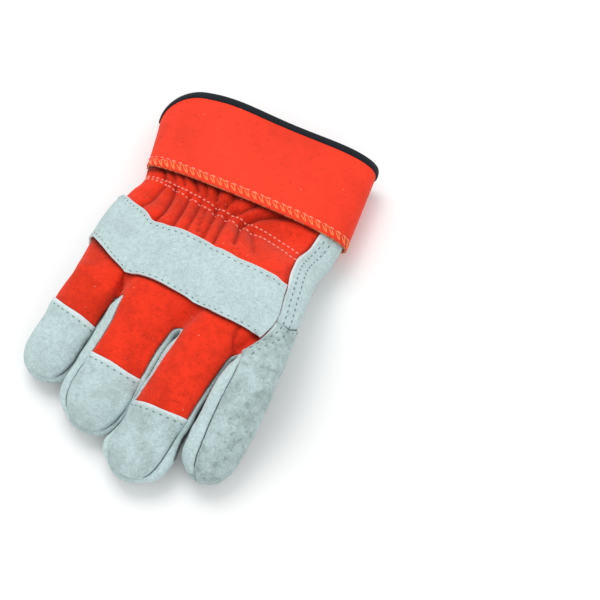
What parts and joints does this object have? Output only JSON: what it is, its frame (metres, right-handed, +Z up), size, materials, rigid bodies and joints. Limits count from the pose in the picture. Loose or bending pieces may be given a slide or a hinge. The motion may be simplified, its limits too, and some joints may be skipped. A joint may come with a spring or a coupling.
{
  "type": "heavy-duty work glove",
  "caption": "Right-hand leather-palm work glove lying on its palm: cloth back, leather knuckle strap and fingertips, gathered wrist, stiff bound safety cuff, thumb folded under.",
  "frame": {"origin": "middle of the glove's footprint, on the surface it lies on", "axes": "+X to the index finger's side, +Y to the cuff's rim, so that the fingers point to -Y, +Z up out of the back of the hand"},
  "size_m": [0.1454, 0.2354, 0.049],
  "materials": {
    "leather": "split suede, matt, pale blue-grey",
    "cloth": "woven cotton drill, matt, orange-red",
    "cuff_cloth": "rubberised cotton, smooth, orange-red",
    "binding": "woven tape, matt, near black"
  },
  "bodies": {
    "root": {"back_cloth": "cloth", "palm_leather": "leather", "index_back": "leather", "side_wall_pinky_ring": "leather", "side_wall_ring_middle": "leather", "side_wall_middle_index": "leather", "pinky_tip": "leather", "ring_tip": "leather", "middle_tip": "leather", "thumb_back": "leather", "thumb_front": "leather", "knuckle_strap": "leather", "cuff": "cuff_cloth", "cuff_binding": "binding"}
  },
  "joints": []
}
